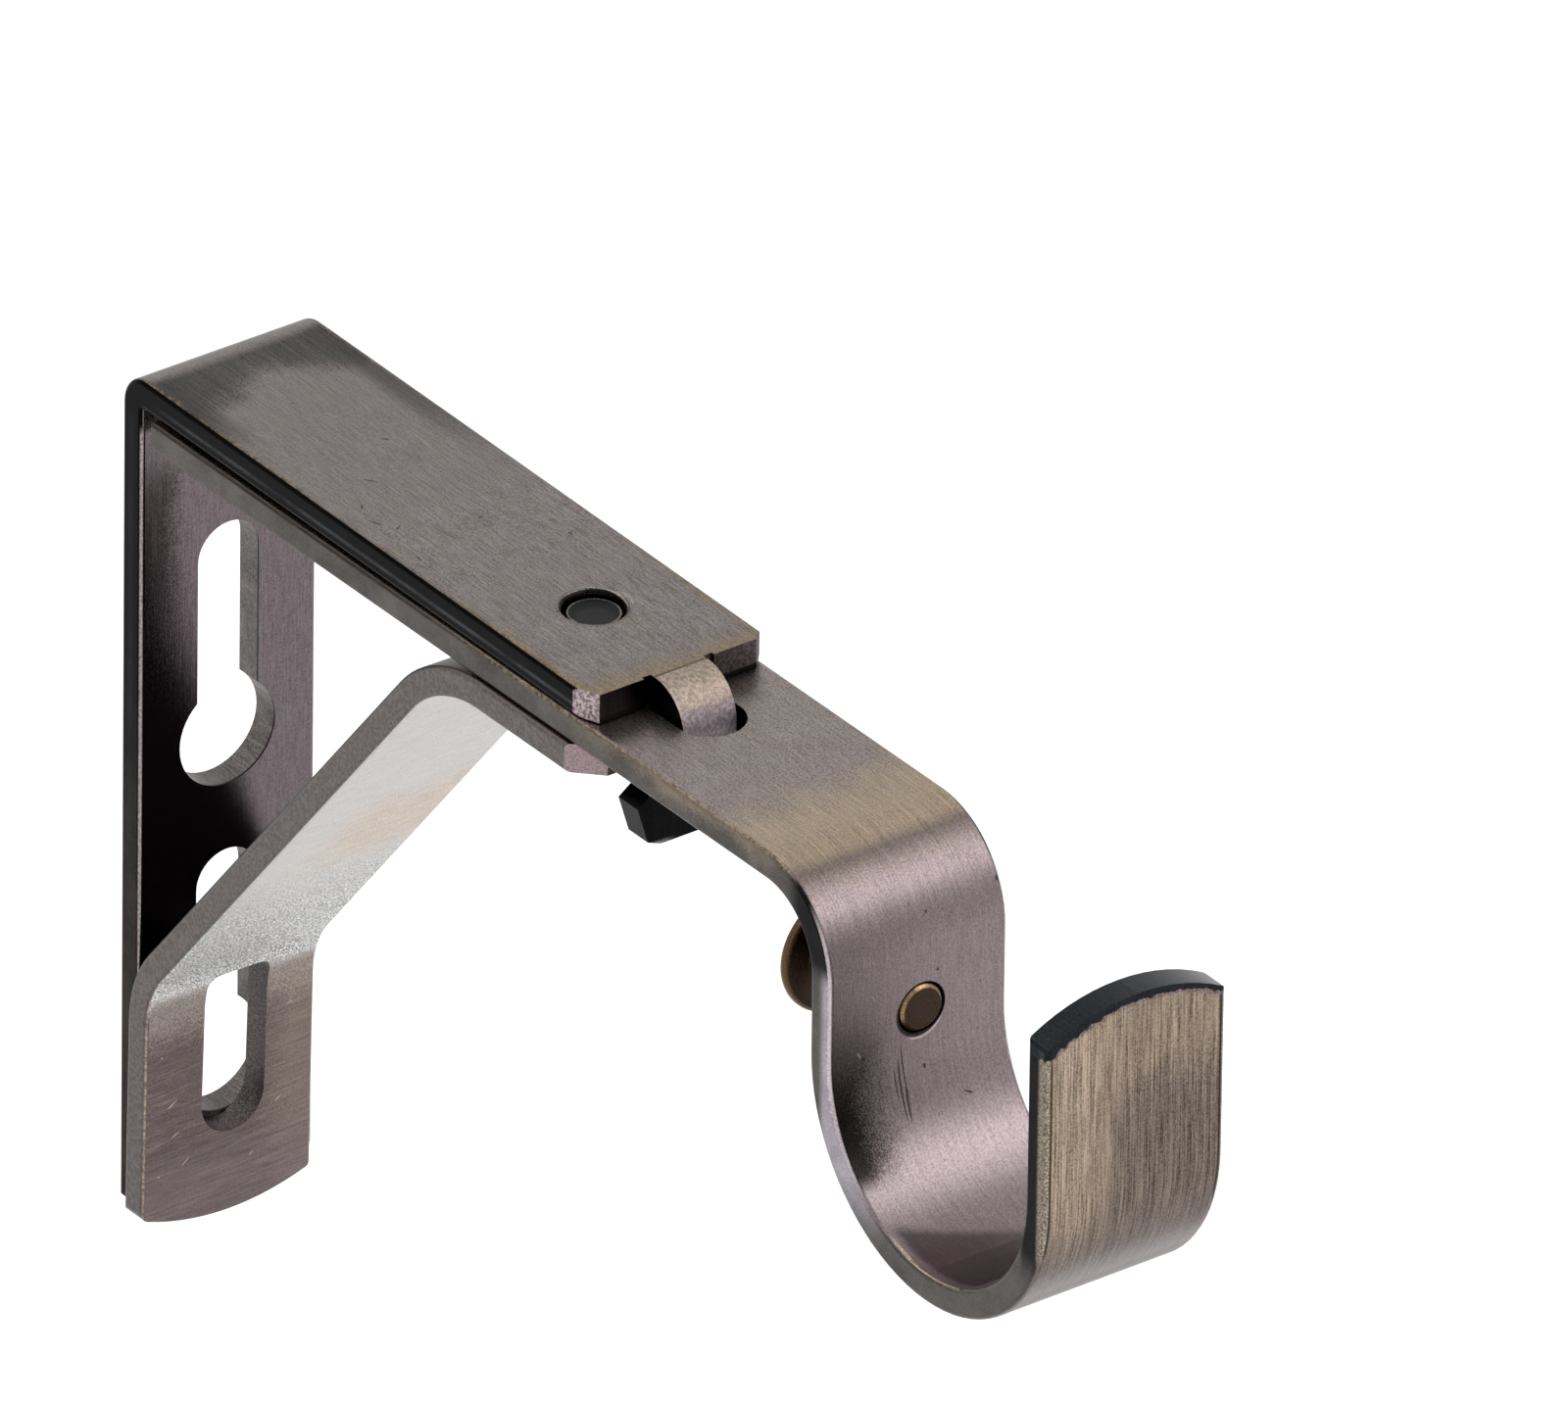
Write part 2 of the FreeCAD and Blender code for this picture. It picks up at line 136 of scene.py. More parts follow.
def surfaceFields(material, look):
    # everything a finish is laid out by: place in millimetres, way the face looks, grain, patches and marks
    here = addNode(material, "TexCoord")
    mm = addNode(material, "VectorMath", {0: here.outputs["Object"], 3: mmPerMetre}, operation="SCALE").outputs[0]
    brushAngle = {"Vector": mm, "Angle": math.radians(look.get("brushTurn", 0.0))}
    turned = addNode(material, "VectorRotate", brushAngle, rotation_type="X_AXIS").outputs[0]
    place = addNode(material, "SeparateXYZ", {0: mm}).outputs
    facing = addNode(material, "SeparateXYZ", {0: here.outputs["Normal"]}).outputs
    fields = {
        "x": place[0], "y": place[1], "z": place[2], "outward": calculate(material, "ABSOLUTE", place[1]),
        "facingX": facing[0], "facingZ": facing[2], "facingSide": calculate(material, "ABSOLUTE", facing[1]),
    }
    for name, noise in noises.items():
        density = tuple(noise["along"] if along else noise["across"] for along in look["brush"])
        vector = turned if noise["turned"] else mm
        fields[name] = noiseField(material, vector, density, noise["detail"], noise["roughness"])
    crumbs = calculate(material, "ADD", fields["patches"], fields["speckle"])
    drift = calculate(material, "SUBTRACT", crumbs, 1.0)
    for name, (field, amount) in raggedFields.items():
        fields[name] = calculate(material, "MULTIPLY_ADD", drift, amount, fields[field])
    for name, spots in look.get("spots", {}).items():
        fields[name] = spotField(material, mm, spots)
    for name, parts in look.get("sums", {}).items():
        total = 0.0
        for field, share in parts:
            total = calculate(material, "MULTIPLY_ADD", fields[field], share, total)
        fields[name] = total
    return fields


def zoneMask(material, fields, where):
    # product of soft steps: each (field, start, end) goes from 0 at start to 1 at end
    mask = None
    for field, start, end in where:
        step = addNode(material, "MapRange", {0: fields[field], 1: start, 2: end}, interpolation_type="SMOOTHSTEP")
        edge = step.outputs[0]
        mask = edge if mask is None else calculate(material, "MULTIPLY", mask, edge)
    return mask


def platedFinish(name, look):
    # metal plating: grain between two tones, then zones laid over it one after another
    material = newMaterial(name)
    fields = surfaceFields(material, look)
    mixed = blend(material, look["speckleShare"], fields["grain"], fields["speckle"])
    coarse = blend(material, streakSpeckle, fields["streaks"], fields["speckle"])
    sources = {"grain": mixed, "streaks": coarse, "sparkle": fields["speckle"], "grit": fields["grit"]}
    tones = {}
    for tone, (low, high) in toneRanges.items():
        tones[tone] = addNode(material, "MapRange", {0: sources[tone], 1: low, 2: high}).outputs[0]
    colour = blendColours(material, tones["grain"], look["dark"], look["pale"])
    smoothest, roughest = (look["roughness"] * share for share in roughnessSpread)
    roughness = addNode(material, "MapRange", {0: tones["grain"], 3: smoothest, 4: roughest}).outputs[0]
    glancing = "#ffffff"
    for zone in look["zones"]:
        mask = zoneMask(material, fields, zone["where"])
        share = calculate(material, "MULTIPLY", mask, zone.get("amount", 1.0))
        paint = blendColours(material, tones[zone.get("by", "grain")], zone["dark"], zone["pale"])
        colour = blendColours(material, share, colour, paint)
        if "roughness" in zone:
            roughness = blend(material, mask, roughness, zone["roughness"])
        if "glancing" in zone:
            glancing = blendColours(material, mask, glancing, zone["glancing"])
    height = blend(material, streakHeight, mixed, coarse)
    bump = addNode(material, "Bump", {
        "Strength": look["bumpStrength"], "Distance": look["grainDepth"], "Height": height})
    shader = addNode(material, "BsdfPrincipled", {
        "Base Color": colour, "Metallic": metal, "Roughness": roughness, "Specular Tint": glancing,
        "Normal": bump.outputs[0]})
    addNode(material, "OutputMaterial", {"Surface": shader.outputs[0]})
    return material


farOff = 1e6

# conditions that many zones share: the field, where it starts and where it is full
topFace = ("facingZ", 0.5, 0.8)
sideFace = ("facingSide", 0.55, 0.8)
offSides = ("facingSide", 0.5, 0.2)
nearSides = ("outward", 9.0, 9.6)
plateFront = ("facingX", 0.6, 0.9)
armEnd = ("x", 71.6, 71.9)
offTop = ("facingZ", 0.6, 0.4)
onTab = ("outward", 3.1, 3.0)
tabOutside = ("facingSide", 0.7, 0.4)
lipOutside = ("x", 140.9, 142.6)
facingRoom = ("facingX", 0.2, 0.6)
footFront = ("facingX", 0.9, 0.97)

# wall arm: mauve-bronze plated steel, brushed along the strip, black glossy rolled edges
wallArmLook = {
    "brush": (1, 0, 1), "speckleShare": 0.5,
    "sums": {"bendX": [("raggedX", 1.0), ("outward", -0.55), ("streaks", 5.0)],
             "edgeZ": [("z", 1.0), ("x", 0.0083)]},
    "spots": {
        "fromScrew": [((60.3, 0.0, 0.0), (1.0, 1.0, farOff), None, 0)],
        "rimHighlightCentre": [((60.05, -0.25, 0.0), (1.0, 1.0, farOff), None, 0)],
        "screwSlip": [((60.7, 2.4, 49.9), (1.9, 1.5, 2.0), "Z_AXIS", 25)],
        "darkMarks": [
            ((30.0, -3.4, 50.0), (0.75, 0.13, 2.0), "Z_AXIS", -38),
            ((33.4, -6.9, 50.0), (0.5, 0.12, 2.0), "Z_AXIS", 35),
            ((36.5, -7.6, 50.0), (0.8, 0.12, 2.0), "Z_AXIS", -20),
            ((38.4, -6.4, 50.0), (0.5, 0.11, 2.0), "Z_AXIS", 60),
            ((24.6, 2.2, 50.0), (0.45, 0.14, 2.0), "Z_AXIS", -50),
            ((44.0, -8.1, 50.0), (0.6, 0.12, 2.0), "Z_AXIS", 10),
            ((48.3, 6.1, 50.0), (0.35, 0.16, 2.0), "Z_AXIS", 0),
            ((41.2, 1.0, 50.0), (0.4, 0.1, 2.0), "Z_AXIS", 70)],
        "paleMarks": [
            ((18.2, 0.6, 50.0), (0.8, 0.09, 2.0), "Z_AXIS", -12),
            ((27.5, 4.8, 50.0), (2.6, 0.08, 2.0), "Z_AXIS", 4),
            ((35.1, 3.1, 50.0), (1.9, 0.08, 2.0), "Z_AXIS", -5),
            ((50.6, -5.7, 50.0), (1.2, 0.08, 2.0), "Z_AXIS", 8)],
    },
    "dark": "#544e4d", "pale": "#928b88", "roughness": 0.30,
    "bumpStrength": 0.6, "grainDepth": 0.00003,
    "zones": [
        # uneven tarnish on the top: browner in places
        {"dark": "#565147", "pale": "#8f8779", "amount": 0.4, "where": [("tarnish", 0.46, 0.60), topFace]},
        {"dark": "#534949", "pale": "#8f8484", "amount": 0.4, "where": [("patches", 0.52, 0.44), topFace]},
        # the rear half of the top is smoother
        {"dark": "#6a6361", "pale": "#7d7775", "amount": 0.6, "where": [("raggedX", 44.0, 20.0), topFace]},
        # wall plate: glossier and more mauve
        {"dark": "#554c4f", "pale": "#74696c", "roughness": 0.14, "where": [("z", 45.5, 44.0), plateFront]},
        # painted dark reflection: the lower left of the plate's front is painted near black in streaks
        {"dark": "#1b1817", "pale": "#4c4445", "amount": 0.85, "by": "streaks",
         "where": [("raggedY", -4.6, -7.4), plateFront, ("z", 43.0, 37.0), ("z", 18.0, 30.0)]},
        # single marks and lengthwise scratches on the top
        {"dark": "#2b2725", "pale": "#3c3733", "amount": 0.85, "where": [("darkMarks", 1.1, 0.75), topFace]},
        {"dark": "#8f8984", "pale": "#9d9792", "amount": 0.6, "where": [("paleMarks", 1.2, 0.6), topFace]},
        {"dark": "#332e2c", "pale": "#3c3733", "amount": 0.5, "where": [("pits", 0.75, 0.78), topFace]},
        {"dark": "#8e8781", "pale": "#9f9892", "amount": 0.16, "where": [("scratches", 0.62, 0.70), topFace]},
        {"dark": "#3e3a38", "pale": "#4a4543", "amount": 0.22, "where": [("scratches", 0.38, 0.31), topFace]},
        # dark band across the wall bend and on along both edges, with a paler line behind it
        {"dark": "#1c1a1a", "pale": "#504d4c", "amount": 0.92, "by": "streaks",
         "where": [("x", 3.3, 4.8), ("bendX", 12.0, 7.8), topFace]},
        {"dark": "#262525", "pale": "#484543", "amount": 0.75, "by": "streaks",
         "where": [("y", 6.4, 8.6), ("raggedX", 38.0, 16.0), ("x", 3.3, 4.8), topFace]},
        {"dark": "#262525", "pale": "#403d3b", "amount": 0.7, "by": "streaks",
         "where": [("y", -6.4, -9.0), ("raggedX", 22.0, 13.0), ("x", 3.3, 4.8), topFace]},
        {"dark": "#3f3a37", "pale": "#6f665f", "amount": 0.8, "by": "streaks",
         "where": [("x", 3.0, 2.2), ("facingZ", 0.2, 0.6)]},
        # brass showing through along the top edges and the front edge, wider towards the front
        {"dark": "#453d32", "pale": "#8f7d62", "amount": 0.8, "by": "grit",
         "where": [("raggedOutward", 9.55, 10.0), ("facingZ", 0.15, 0.5), ("z", 44.0, 45.0)]},
        {"dark": "#6c5e47", "pale": "#988461", "amount": 0.7, "by": "grit",
         "where": [("raggedX", 70.0, 73.4), ("facingZ", 0.4, 0.7), ("z", 46.0, 47.0)]},
        {"dark": "#665840", "pale": "#98835e", "amount": 0.55, "by": "grit",
         "where": [("raggedOutward", 8.7, 9.8), ("x", 48.0, 66.0), ("facingZ", 0.4, 0.7), ("z", 46.0, 47.0)]},
        # rolled side edges: black, with a painted highlight line along the middle of the arm's edge
        {"dark": "#050506", "pale": "#0c0c0d", "roughness": 0.2, "glancing": "#dcdcdc",
         "where": [("facingSide", 0.35, 0.6), ("outward", 9.2, 9.7)]},
        # painted highlight: a pale line along the middle of the rounded edge
        {"dark": "#17181a", "pale": "#43454a", "amount": 0.9, "by": "streaks",
         "where": [sideFace, nearSides, ("edgeZ", 48.15, 48.42), ("edgeZ", 48.8, 48.52), ("x", 3.0, 12.0)]},
        {"dark": "#101114", "pale": "#202227", "amount": 0.8, "by": "streaks",
         "where": [sideFace, nearSides, ("x", 0.7, 1.3), ("x", 2.1, 1.5), ("z", 47.0, 45.0)]},
        {"dark": "#221f1d", "pale": "#3c3633", "amount": 0.75,
         "where": [nearSides, ("x", 3.1, 2.9), ("raggedZ", 22.0, -10.0), sideFace]},
        {"dark": "#57504b", "pale": "#7a7068", "amount": 0.8, "where": [nearSides, ("x", 0.6, 0.1)]},
        # painted highlight along the arris between the plate's front and its sides
        {"dark": "#665b5d", "pale": "#aca0a2", "by": "sparkle",
         "where": [("outward", 9.83, 9.9), ("facingX", 0.4, 0.6), ("facingX", 0.98, 0.92), ("z", 45.5, 44.0)]},
        # cut walls of the keyholes
        {"dark": "#433f3e", "pale": "#77716f", "roughness": 0.42,
         "where": [("facingX", 0.5, 0.2), ("facingX", -0.5, -0.2), ("outward", 6.4, 6.0), ("z", 34.0, 33.0)]},
        {"dark": "#121111", "pale": "#1c1b1b",
         "where": [("facingX", 0.5, 0.2), ("facingX", -0.5, -0.2), ("outward", 6.4, 6.0), ("z", 34.0, 33.0),
                   ("x", 2.7, 2.85)]},
        # screw hole: tapped wall painted dark as painted shade, a worn edge, a slip mark beside it, and painted
        # highlights in a thin line round the rim and in a crescent at its right
        {"dark": "#8b847d", "pale": "#bdb5ac", "amount": 0.8, "by": "sparkle",
         "where": [("screwSlip", 1.05, 0.8), ("fromScrew", 3.1, 3.3), ("facingZ", 0.4, 0.7)]},
        {"dark": "#2a2725", "pale": "#7d766f", "amount": 0.7, "by": "sparkle",
         "where": [("fromScrew", 3.18, 3.3), ("fromScrew", 3.75, 3.45), ("z", 47.0, 47.5)]},
        {"dark": "#0d0c0c", "pale": "#1d1b1a", "roughness": 0.35,
         "where": [("fromScrew", 3.34, 3.24), ("z", 46.0, 46.2)]},
        {"dark": "#3c3936", "pale": "#8a847d", "amount": 0.7, "by": "sparkle",
         "where": [("fromScrew", 3.34, 3.24), ("z", 49.28, 49.36), ("z", 49.56, 49.46)]},
        {"dark": "#77716b", "pale": "#b4aea8", "amount": 0.75, "by": "sparkle",
         "where": [("rimHighlightCentre", 3.36, 3.42), ("rimHighlightCentre", 3.6, 3.5), ("y", 0.2, 1.2), ("z", 48.6, 48.9)]},
        # sheared front edge, its two corners and the tab
        {"dark": "#0f0d0e", "pale": "#2b2627", "roughness": 0.28, "by": "streaks",
         "where": [armEnd, offTop, ("y", -2.9, -3.1)]},
        {"dark": "#332c2d", "pale": "#594f50", "roughness": 0.45, "by": "grit",
         "where": [armEnd, offTop, ("y", 2.9, 3.1)]},
        # painted contact shadow: a black band along the bottom of the front edge, above the cradle arm
        {"dark": "#0b0a0a", "pale": "#171515", "where": [armEnd, offTop, ("z", 47.25, 47.0)]},
        {"dark": "#6b5e61", "pale": "#bfb0b4", "roughness": 0.55, "by": "grit",
         "where": [("x", 70.7, 70.9), offTop, ("y", -8.9, -9.1), ("facingX", 0.2, 0.35),
                   ("facingX", 0.9, 0.6)]},
        {"dark": "#0c0b0c", "pale": "#1f1d1e", "roughness": 0.5, "by": "grit",
         "where": [("x", 70.7, 70.9), offTop, ("y", 8.9, 9.1)]},
        {"dark": "#82776f", "pale": "#a99b8c", "roughness": 0.62, "by": "grit",
         "where": [("x", 73.5, 74.0), onTab, tabOutside]},
        {"dark": "#95847e", "pale": "#b3a29a", "amount": 0.4, "roughness": 0.65, "by": "grit",
         "where": [("x", 75.8, 76.8), ("x", 78.1, 77.7), onTab, tabOutside]},
        {"dark": "#85787d", "pale": "#aca0a5", "roughness": 0.68, "by": "grit",
         "where": [("x", 77.6, 78.0), onTab, tabOutside]},
        {"dark": "#1a1717", "pale": "#2c2727", "amount": 0.9,
         "where": [("raggedZ", 44.2, 42.6), ("x", 77.6, 78.0), onTab, tabOutside]},
        {"dark": "#3a332f", "pale": "#4c443e", "amount": 0.8,
         "where": [("x", 73.45, 73.6), ("x", 73.9, 73.7), onTab, ("facingZ", 0.6, 0.8)]},
        {"dark": "#0c0c0d", "pale": "#2a2829", "roughness": 0.25, "by": "sparkle",
         "where": [("x", 73.0, 73.2), ("facingSide", 0.4, 0.7), ("outward", 3.3, 3.2)]},
        # head of the tab, under the arms
        {"dark": "#080809", "pale": "#131314", "roughness": 0.18, "glancing": "#dcdcdc",
         "where": [("x", 73.0, 73.2), ("z", 43.0, 42.6)]},
        # painted highlight: pale speckled lower left corner of the tab's head
        {"dark": "#4d4a48", "pale": "#c6c3c0", "roughness": 0.3, "by": "sparkle",
         "where": [("x", 73.0, 73.2), ("z", 35.6, 34.9), ("raggedY", -4.0, -6.0)]},
    ],
}

# cradle arm: the same plating, olive on top, brushed brass on the outside of the hook
cradleLook = {
    "brush": (1, 0, 1), "speckleShare": 0.62,
    "sums": {"lipEdge": [("fromCrown", 1.0), ("y", -0.025), ("pits", 0.9)],
             "patchX": [("x", 1.0), ("y", -0.5)]},
    "spots": {
        "fromPoleScrew": [((0.0, 0.4, 31.1), (farOff, 1.0, 1.0), None, 0)],
        "fromCrown": [((0.0, 0.0, 28.7), (farOff, 1.0, 1.0), None, 0)],
        "underPin": [((110.7, 0.18, 30.85), (3.0, 2.72, 2.72), None, 0)],
        "hookScratches": [
            ((112.0, -2.42, 23.8), (4.0, 0.11, 3.3), "X_AXIS", 2),
            ((112.0, -1.85, 25.2), (4.0, 0.09, 3.0), "X_AXIS", -2),
            ((112.0, -2.0, 22.4), (4.0, 0.13, 1.7), "X_AXIS", 5),
            ((112.0, -2.9, 24.4), (4.0, 0.08, 1.6), "X_AXIS", 0),
            ((112.0, 0.5, 25.1), (4.0, 0.17, 0.3), "X_AXIS", 0),
            ((112.0, -6.2, 27.9), (4.0, 0.14, 0.3), "X_AXIS", 0),
            ((112.0, 4.6, 21.6), (4.0, 0.5, 0.1), "X_AXIS", 30),
            ((112.0, 2.2, 34.6), (4.0, 0.16, 0.2), "X_AXIS", 0),
            ((109.6, 1.4, 40.6), (4.0, 0.13, 0.16), "X_AXIS", 0),
            ((110.7, 9.9, 41.2), (2.0, 0.55, 0.5), "X_AXIS", 0)],
        "hookGlints": [((112.0, -6.7, 28.4), (4.0, 0.5, 0.09), "X_AXIS", 60),
                       ((112.0, -5.1, 33.9), (4.0, 0.08, 0.5), "X_AXIS", -25)],
    },
    "dark": "#615956", "pale": "#9f9590", "roughness": 0.30,
    "bumpStrength": 0.6, "grainDepth": 0.00003,
    "zones": [
        # mauve, green and brown unevenness of the top
        {"dark": "#5b554b", "pale": "#978f7e", "amount": 0.45, "where": [("tarnish", 0.46, 0.60), topFace]},
        {"dark": "#5f5455", "pale": "#9a8d8e", "amount": 0.45, "where": [("patches", 0.54, 0.44), topFace]},
        # khaki band where the bend starts, painted shade in mauve-grey on the upper bend that dims the lamp's
        # highlight there, mauve further down and dark mauve in the hook
        {"dark": "#7e6e5f", "pale": "#baa58f", "amount": 0.8, "by": "streaks",
         "where": [("raggedX", 91.5, 99.5), ("facingZ", 0.6, 0.9)]},
        {"dark": "#796f59", "pale": "#afa386", "amount": 0.42, "by": "streaks",
         "where": [("raggedX", 90.0, 98.0), ("tarnish", 0.54, 0.44), ("facingZ", 0.6, 0.9)]},
        {"dark": "#4a4243", "pale": "#6f6566", "amount": 0.85, "roughness": 0.36,
         "where": [("x", 101.5, 103.5), ("x", 125.0, 115.0), ("facingZ", 0.97, 0.9)]},
        {"dark": "#675b5d", "pale": "#877b7d", "amount": 0.9, "roughness": 0.40,
         "where": [("x", 103.0, 105.5), ("x", 125.0, 115.0), ("facingZ", 0.84, 0.62)]},
        {"dark": "#695e60", "pale": "#8d8183", "amount": 0.95, "roughness": 0.39,
         "where": [("x", 107.5, 110.0), ("x", 140.3, 139.0), ("z", 42.0, 37.0), offSides]},
        # painted shadow: the near part of the hook's rear wall is painted near black, darkest towards the arris
        {"dark": "#151213", "pale": "#433c3d", "amount": 0.92, "by": "sparkle",
         "where": [("x", 109.0, 110.0), ("x", 122.0, 118.0), ("raggedY", -2.6, -8.0), ("z", 35.0, 25.0),
                   ("z", 16.6, 19.0), ("facingX", 0.45, 0.7), offSides]},
        {"dark": "#110f0e", "pale": "#241f1e", "amount": 0.88, "by": "sparkle",
         "where": [("x", 109.0, 110.0), ("x", 122.0, 118.0), ("raggedY", -6.5, -8.6), ("z", 28.0, 23.0),
                   ("z", 17.0, 18.6), offSides]},
        # painted dark reflection: a patch at the bottom of the hook with a sharp upper edge
        {"dark": "#3a3334", "pale": "#4e4547", "amount": 0.85, "roughness": 0.22,
         "where": [("patchX", 123.2, 124.8), ("x", 139.0, 136.0), ("z", 15.6, 15.0), ("outward", 9.4, 8.6),
                   offSides]},
        {"dark": "#1f1b1c", "pale": "#332d2e", "amount": 0.85,
         "where": [("hookScratches", 1.15, 0.7), offSides]},
        {"dark": "#a89ca0", "pale": "#bbb0b4", "amount": 0.6, "where": [("hookGlints", 1.15, 0.6), offSides]},
        {"dark": "#231f20", "pale": "#332e2f", "amount": 0.55, "where": [("pits", 0.74, 0.77), offSides]},
        # outside of the hook and of the lip: coarse upright brushing, brassy at the upper left
        {"dark": "#292320", "pale": "#897b71", "roughness": 0.4, "by": "streaks",
         "where": [lipOutside, facingRoom]},
        {"dark": "#584a40", "pale": "#c8b39c", "amount": 0.68, "by": "streaks",
         "where": [lipOutside, facingRoom, ("raggedY", 0.5, -6.5), ("z", 18.0, 31.0)]},
        {"dark": "#594d42", "pale": "#b9a58e", "amount": 0.55, "by": "streaks",
         "where": [lipOutside, facingRoom, ("raggedZ", 36.0, 43.0)]},
        {"dark": "#3b3331", "pale": "#766c69", "amount": 0.85, "by": "streaks",
         "where": [("x", 125.0, 130.0), ("raggedZ", 27.0, 17.0), ("facingZ", 0.2, -0.2)]},
        # sides: grey, with brass along the top edge, painted shade on the top arris under the wall arm, a painted
        # lilac highlight down the hook and black at the bend
        {"dark": "#3c3835", "pale": "#5b5652", "roughness": 0.36, "by": "streaks",
         "where": [sideFace, nearSides]},
        {"dark": "#433c32", "pale": "#90806a", "amount": 0.85, "by": "grit",
         "where": [("raggedOutward", 9.5, 9.95), ("facingZ", 0.1, 0.4), ("facingZ", 0.98, 0.9),
                   ("x", 107.0, 102.0), ("x", 40.0, 66.0)]},
        # painted shade: the top arris is painted dark where it runs under the wall arm
        {"dark": "#1f1c1a", "pale": "#3a3532", "amount": 0.8,
         "where": [("outward", 9.3, 9.8), ("facingZ", 0.15, 0.4), ("facingZ", 0.99, 0.95), ("x", 66.0, 40.0)]},
        {"dark": "#5b5247", "pale": "#87796a", "amount": 0.75, "by": "streaks",
         "where": [sideFace, ("raggedZ", 44.7, 46.0), ("x", 104.0, 98.0), ("x", 64.0, 86.0)]},
        # painted highlight: lilac down the hook's near side
        {"dark": "#8a828a", "pale": "#aea5ad", "amount": 0.9, "roughness": 0.3,
         "where": [("facingSide", 0.5, 0.8), ("x", 109.0, 110.2), ("x", 122.0, 116.0), ("z", 40.5, 37.5),
                   ("z", 12.0, 19.0)]},
        {"dark": "#0e0d0e", "pale": "#211f20", "glancing": "#dcdcdc",
         "where": [("outward", 9.3, 9.8), ("x", 103.5, 106.0), ("x", 111.5, 110.7), ("z", 36.2, 38.7),
                   ("z", 46.2, 45.2), ("facingSide", 0.25, 0.5)]},
        # painted highlight: a pale line along the hook's near arris
        {"dark": "#a3989d", "pale": "#d4c9cd", "amount": 0.85,
         "where": [("outward", 9.8, 9.93), ("facingX", 0.3, 0.5), ("facingX", 0.98, 0.9),
                   ("facingSide", 0.1, 0.3), ("x", 107.0, 109.5), ("x", 118.0, 113.0)]},
        {"dark": "#3f3830", "pale": "#b9ad9c", "by": "sparkle",
         "where": [("outward", 9.7, 9.85), ("x", 142.6, 143.2), ("facingSide", 0.1, 0.25),
                   ("facingSide", 0.95, 0.8)]},
        {"dark": "#171413", "pale": "#2a2624", "amount": 0.9,
         "where": [("outward", 9.42, 9.55), ("outward", 9.78, 9.68), ("x", 142.6, 143.2)]},
        {"dark": "#0c0c0d", "pale": "#1d1c1c", "roughness": 0.3, "glancing": "#dcdcdc",
         "where": [sideFace, ("x", 139.8, 140.6), ("x", 142.7, 142.2), ("z", 20.0, 24.0)]},
        {"dark": "#453b33", "pale": "#a89988", "amount": 0.85, "by": "sparkle",
         "where": [sideFace, ("x", 142.3, 142.8), ("z", 20.0, 24.0)]},
        # cut end of the lip with its ragged shear line, walls of the slot, and round the thumb screw's tip a
        # painted shadow crescent, a pale arc and painted shade in its hole
        {"dark": "#3a3133", "pale": "#8a7d80", "amount": 0.8, "by": "sparkle",
         "where": [("lipEdge", 19.2, 19.5), ("z", 42.0, 43.0), ("x", 142.0, 142.8), offSides]},
        {"dark": "#131416", "pale": "#24272a", "roughness": 0.24,
         "where": [("lipEdge", 19.6, 19.72), ("z", 42.0, 43.0), ("x", 139.5, 140.5)]},
        {"dark": "#181a1c", "pale": "#2c3033", "roughness": 0.24,
         "where": [("z", 44.6, 45.0), topFace, ("x", 139.5, 140.5)]},
        {"dark": "#0c0c0d", "pale": "#1d1b1c", "roughness": 0.3,
         "where": [("x", 84.0, 83.5), ("outward", 3.75, 3.6), ("facingZ", 0.6, 0.3), ("facingZ", -0.6, -0.3)]},
        # painted shadow: a dark crescent below and left of the thumb screw's tip
        {"dark": "#131110", "pale": "#2a2625", "amount": 0.9,
         "where": [("underPin", 1.02, 0.94), ("x", 109.5, 110.2), ("x", 112.0, 111.5)]},
        {"dark": "#a89d99", "pale": "#c8beb9", "amount": 0.7,
         "where": [("underPin", 1.09, 1.05), ("underPin", 0.97, 1.01), ("z", 29.8, 29.0), ("y", -1.6, -0.4),
                   ("x", 109.5, 110.2), ("x", 112.0, 111.5)]},
        # painted shade: the wall of the thumb screw's hole is painted near black
        {"dark": "#100e0e", "pale": "#1c1919", "roughness": 0.4,
         "where": [("fromPoleScrew", 2.72, 2.66), ("x", 112.0, 111.5)]},
    ],
}
